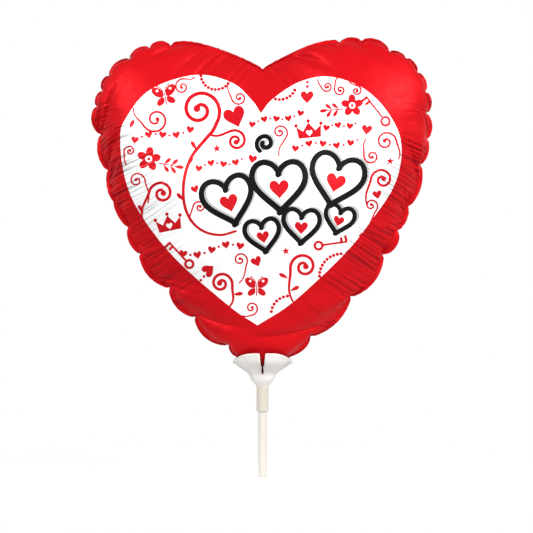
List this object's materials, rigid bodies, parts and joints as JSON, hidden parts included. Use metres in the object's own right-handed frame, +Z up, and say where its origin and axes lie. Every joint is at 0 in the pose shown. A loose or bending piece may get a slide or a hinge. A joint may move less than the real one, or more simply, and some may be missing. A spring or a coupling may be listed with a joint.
{
  "type": "heart foil balloon on a stick",
  "caption": "Small heart-shaped foil balloon with a red border and a white printed middle, held in a four-petal plastic cup on a thin hollow stick.",
  "frame": {"origin": "centre of the stick's lower end", "axes": "+Z up along the stick, -Y is the way the heart's printed front faces, +X to the viewer's right"},
  "size_m": [0.1984, 0.092, 0.2542],
  "materials": {
    "front_foil": "metallised film printed red with a white panel, satin gloss, finely wrinkled along the seam",
    "rear_foil": "metallised film printed red with a white panel, as on the front, satin gloss, finely wrinkled along the seam",
    "valve_film": "clear thin polyethylene film",
    "cup": "translucent natural polypropylene, moulded",
    "stick": "translucent ivory extruded plastic tube"
  },
  "bodies": {
    "stick": {"stick": "stick"},
    "cup": {"cup": "cup"},
    "balloon": {"front_foil": "front_foil", "rear_foil": "rear_foil", "front_valve_film": "valve_film", "rear_valve_film": "valve_film"}
  },
  "joints": [
    {"name": "cup_slide", "type": "slide", "parent": "stick", "child": "cup", "axis": [0, 0, 1], "range_m": [0, 0.0136]},
    {"name": "balloon_slide", "type": "slide", "parent": "cup", "child": "balloon", "axis": [0, 0, 1], "range_m": [0, 0.035]}
  ]
}
